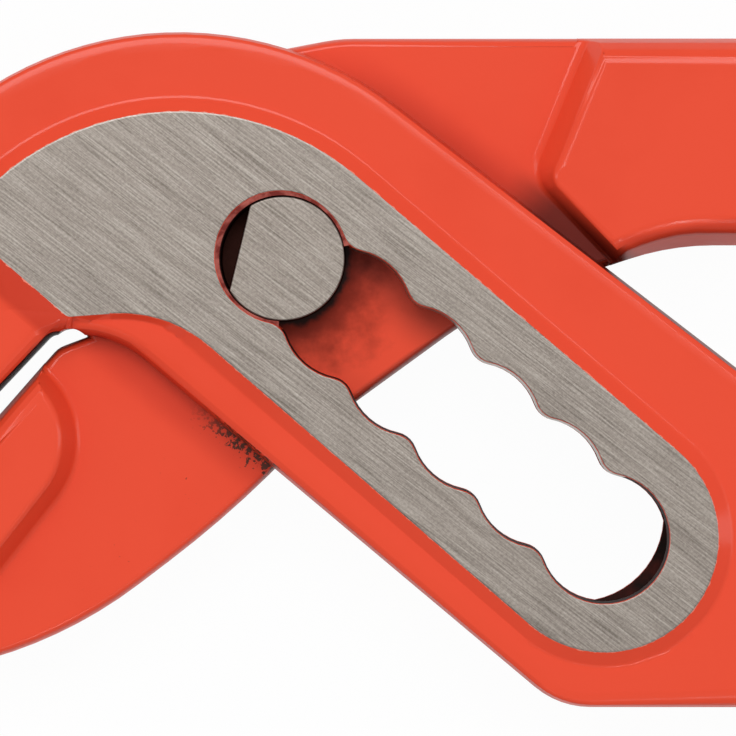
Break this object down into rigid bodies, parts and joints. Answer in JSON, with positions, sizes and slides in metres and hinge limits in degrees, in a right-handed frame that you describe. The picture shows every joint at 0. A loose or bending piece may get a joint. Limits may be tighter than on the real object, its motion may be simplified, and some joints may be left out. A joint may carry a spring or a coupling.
{
  "type": "water pump pliers",
  "caption": "Adjustable water pump pliers with a box joint: a forged tongue lever turns on a flush pin that seats in the scalloped slot of a forged lever with two cheeks.",
  "frame": {"origin": "on the pivot pin's axis, in the plane of the rear ground face that the tool rests on", "axes": "+X runs to the handle ends, +Z is the front of the tool along the pin's axis, +Y is from the lower handle to the upper handle"},
  "size_m": [0.2495, 0.0586, 0.012],
  "materials": {
    "red_paint": "semi-gloss orange-red enamel on forged steel",
    "ground_steel": "surface-ground steel with straight grinding lines"
  },
  "bodies": {
    "slotted_lever": {"slotted_lever": "red_paint"},
    "tongue_lever": {"tongue_lever": "red_paint", "pivot_pin": "ground_steel"}
  },
  "joints": [
    {"name": "handle_pivot", "type": "hinge", "parent": "slotted_lever", "child": "tongue_lever", "pos_m": [0, 0, 0.006], "axis": [0, 0, 1], "range_deg": [-1.5, 60]}
  ]
}
